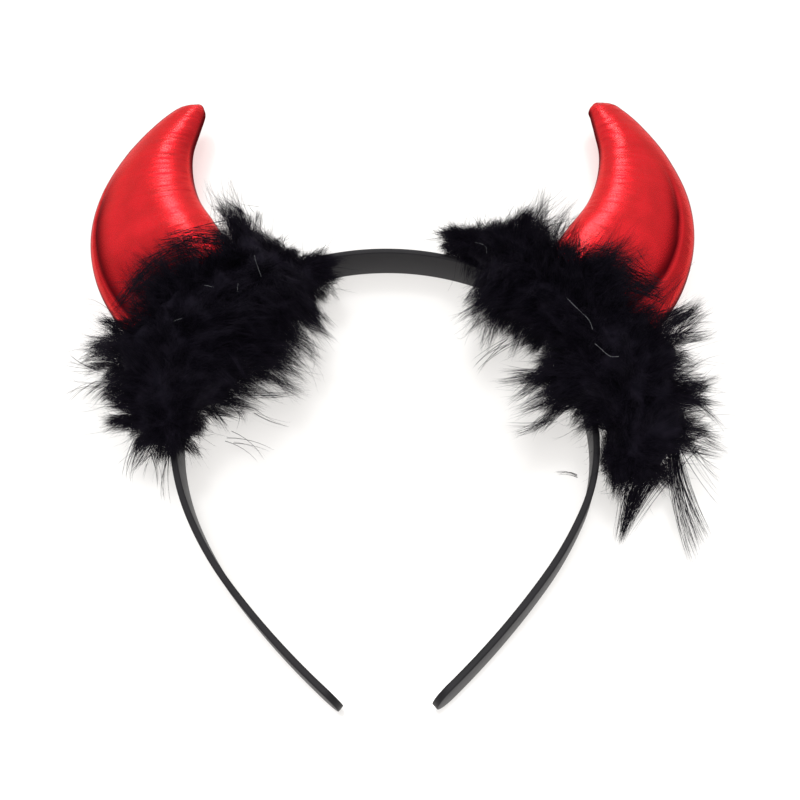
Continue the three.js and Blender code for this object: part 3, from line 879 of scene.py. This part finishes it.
def grow_veil(side, rng):
    """Curves of pointed locks that lie over the horn."""
    core, skin, station = spread_round(side, rng, VEIL_LOCKS, VEIL_TURNS, VEIL_COURSE)
    out = unit(skin - core)
    root = core + (skin - core) * VEIL_ROOT
    tip = skin + out * rng.uniform(*VEIL_REACH, (VEIL_LOCKS, 1))
    tip = tip + station["down"] * rng.normal(0, VEIL_SWAY, (VEIL_LOCKS, 1))
    bend = (root + tip) / 2 + rng.normal(0, VEIL_BEND, (VEIL_LOCKS, 3))
    root, bend, tip = (np.repeat(points, VEIL_BARBS, axis=0) for points in (root, bend, tip))
    count = len(root)
    root = root + rng.normal(0, VEIL_SPREAD, (count, 3))
    bend = bend + rng.normal(0, VEIL_BARB_BEND, (count, 3))
    drawn = rng.random((count, 1)) ** 0.6
    tip = root + (tip - root) * drawn + rng.normal(0, VEIL_TIP, (count, 3))
    bend = root + (bend - root) * drawn
    return root, bend, tip


def band_place(side, along, out, height):
    """Places given by shares of the half band, distances out of it and heights."""
    middle, _down, outward = band_frame(side["sign"], np.asarray(along, float) * HALF_LENGTH)
    plan = middle + np.asarray(out, float)[..., None] * outward
    return np.concatenate([plan, np.asarray(height, float)[..., None]], axis=-1)


def grow_strands(side, rng):
    """Curves of the strands that stand out one by one."""
    curves = []
    for first_root, first_tip, last_tip, bend, spread, count in side["strands"]:
        root, start, end = (band_place(side, *place) for place in (first_root, first_tip, last_tip))
        share = (np.arange(count) + rng.random(count))[:, None] / count
        scatter = STRAND_TIP + STRAND_TAPER * spread
        tip = start + (end - start) * share + rng.normal(0, scatter, (count, 3))
        roots = root + rng.normal(0, 0.5, (count, 3)) * spread
        tip = tip - (tip - roots) * STRAND_TAPER * spread * rng.random((count, 1)) ** 2
        aside = unit(np.cross(tip - roots, (0, 0, 1.0)))
        middle = (roots + tip) / 2 + aside * bend * rng.uniform(0.5, 1.4, (count, 1))
        curves.append((roots, middle, tip))
    return [np.concatenate(points) for points in zip(*curves)]


def curve_lines(curves):
    """Points along quadratic curves, from their roots to their tips."""
    root, bend, tip = (points[:, None] for points in curves)
    return curve_at(root, bend, tip, np.linspace(0, 1, LONG_STEPS)[None])


def build_glue(side, material):
    """Thin threads of glue that cross the down."""
    pieces = []
    corners = np.linspace(0, 2 * math.pi, GLUE_CORNERS, endpoint=False)
    for index, places in enumerate(side["glue"]):
        course, turn = spline(places, np.linspace(0, 1, 12)).T
        core, skin, _station = trim_skin(side, course, np.radians(turn))
        line = core + (skin - core) * GLUE_DEPTH
        travel = unit(np.gradient(line, axis=0))
        level = unit(np.cross(travel, (0, 0, 1.0)))
        upright = np.cross(level, travel)
        rings = line[:, None] + GLUE_RADIUS * (
            np.cos(corners)[:, None] * level[:, None] + np.sin(corners)[:, None] * upright[:, None]
        )
        pieces.append(loft(f"{side['name']}_glue_{index + 1}", rings[:, ::-1], material))
    return pieces


def build_heart(side, surface, material):
    """The closed dark heart of the trim, which the barbs hide."""
    course = np.linspace(-0.04, 1.04, HEART_MESH)
    turns = np.linspace(0, 2 * math.pi, HEART_MESH, endpoint=False)
    rings = []
    for place in course:
        core, skin, _station = trim_skin(side, np.full(len(turns), place), turns)
        lumps = noise(np.full(len(turns), place * 26), turns * 6, side["seed"] + 5)
        lumps = 1 + HEART_LUMPS * lumps
        rings.append(core + (skin - core) * (HEART * lumps)[:, None])
    rings = lay_on(surface, np.array(rings))
    if side["sign"] < 0:
        rings = rings[:, ::-1]
    return loft(side["name"] + "_down_heart", rings, material)


def build_down(side, material):
    """The down of one trim: its heart, three pieces of tufts, and one of all that stands out."""
    rng = np.random.default_rng(side["seed"])
    surface = height_map(side)
    name = side["name"]
    pieces = [build_heart(side, surface, material)]
    tufts = grow_tufts(side, rng, TUFTS)
    order = rng.permutation(len(tufts[0]))
    for index, part in enumerate(np.array_split(order, TUFT_PIECES)):
        chosen = [points[part] for points in tufts]
        lines = lay_on(surface, comb_barbs(rng, chosen))
        widths = rng.uniform(0.7, 1.3, len(lines)) * BARB_WIDTH
        twist = unit(rng.normal(size=(len(lines), 3)))
        pieces.append(barb_mesh(f"{name}_down_{index + 1}", lines, widths, twist, material))
    veil = grow_veil(side, rng)
    wisps = grow_wisps(side, rng)
    strands = grow_strands(side, rng)
    curves = [np.concatenate(points) for points in zip(veil, wisps, strands)]
    lines = lay_on(surface, curve_lines(curves))
    widths = np.full(len(lines), BARB_WIDTH)
    widths[-len(strands[0]):] = STRAND_WIDTH
    widths = widths * rng.uniform(0.6, 1.1, len(lines))
    twist = unit(rng.normal(size=(len(lines), 3)))
    pieces.append(barb_mesh(name + "_wisps", lines, widths, twist, material))
    return pieces


# Stage


def build_floor():
    """The white surface that the headband lies on."""
    signs = ((-1, -1, 0), (1, -1, 0), (1, 1, 0), (-1, 1, 0))
    corners = np.array(signs) * FLOOR_HALF
    floor = make_mesh("floor", corners, [np.array([[0, 1, 2, 3]])], floor_material())


def facing(place, target):
    """The direction from a place to a target, and a level and an upright direction across it."""
    direction = (Vector(target) - Vector(place)).normalized()
    level = direction.cross(Vector((0, 0, 1))).normalized()
    return direction, level, level.cross(direction)


def put(thing, place, right, up, direction):
    """Stands a camera or light at a place in millimetres, looking in a direction."""
    bpy.context.scene.collection.objects.link(thing)
    turn = Matrix((right, up, -direction)).transposed().to_4x4()
    thing.matrix_world = Matrix.Translation(Vector(place) * MM) @ turn


def build_camera():
    """The camera where the photo was taken from, rolled as the photo is."""
    direction, level, upright = facing(CAMERA_PLACE, CAMERA_TARGET)
    roll = math.radians(CAMERA_ROLL)
    up = upright * math.cos(roll) + level * math.sin(roll)
    data = bpy.data.cameras.new("camera")
    data.lens = CAMERA_LENS
    data.sensor_width = CAMERA_SENSOR
    data.clip_start = 0.01
    camera = bpy.data.objects.new("camera", data)
    put(camera, CAMERA_PLACE, direction.cross(up), up, direction)
    bpy.context.scene.camera = camera


def add_light(name, place, target, size, power):
    """A white disk light, with places and size in millimetres."""
    data = bpy.data.lights.new(name, "AREA")
    data.shape = "DISK"
    data.size = size * MM
    data.energy = power
    direction, level, upright = facing(place, target)
    put(bpy.data.objects.new(name, data), place, level, upright, direction)


def build_room():
    """A bright window side beyond the top of the arch, dimmer walls round it and a ceiling."""
    world = bpy.data.worlds.new("room")
    world.use_nodes = True
    tree = world.node_tree
    add = new_nodes(tree)
    view = add("ShaderNodeTexCoord").outputs["Generated"]
    axes = add("ShaderNodeSeparateXYZ", {"Vector": view}).outputs
    level = add("ShaderNodeVectorMath", {0: view, 1: (1, 1, 0)}, operation="MULTIPLY")
    level = add("ShaderNodeVectorMath", {0: level.outputs["Vector"]}, operation="NORMALIZE")
    toward = (math.sin(WINDOW_TURN), math.cos(WINDOW_TURN), 0)
    turned = {0: level.outputs["Vector"], 1: toward}
    turned = add("ShaderNodeVectorMath", turned, operation="DOT_PRODUCT")
    wall = ramp(add, turned.outputs["Value"], (0.2, (0.62, 0.62, 0.63)), (0.5, (0.72, 0.72, 0.73)),
                (0.85, (1.1, 1.1, 1.1)))
    ceiling = ramp(add, axes["Z"], (0.35, (0.0, 0.0, 0.0)), (0.75, (0.6, 0.6, 0.6)),
                   (0.95, (1.4, 1.4, 1.4)))
    light = add("ShaderNodeMix", {"Factor": 1.0, "A": wall, "B": ceiling}, data_type="RGBA",
                blend_type="LIGHTEN")
    tree.links.new(light.outputs["Result"], tree.nodes["Background"].inputs["Color"])
    tree.nodes["Background"].inputs["Strength"].default_value = 1.0
    bpy.context.scene.world = world
    bpy.context.scene.view_settings.view_transform = "Standard"


# Assembly

build_camera()
plastic = plastic_material()
foil = foil_material()
down = down_material()
glue = glue_material()

band = build_band(plastic)
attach(band, "root")
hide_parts("headband")

for side in SIDES:
    name = side["name"]
    horn = build_horn(side, foil)
    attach(horn, "root")
    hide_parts(name + "_horn_front", name + "_horn_back")
    for piece in build_down(side, down) + build_glue(side, glue):
        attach(piece, "root")
        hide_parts(name + "_marabou_trim")

build_floor()
build_room()
add_light("window", **WINDOW_LIGHT)
add_light("ceiling", **CEILING_LIGHT)
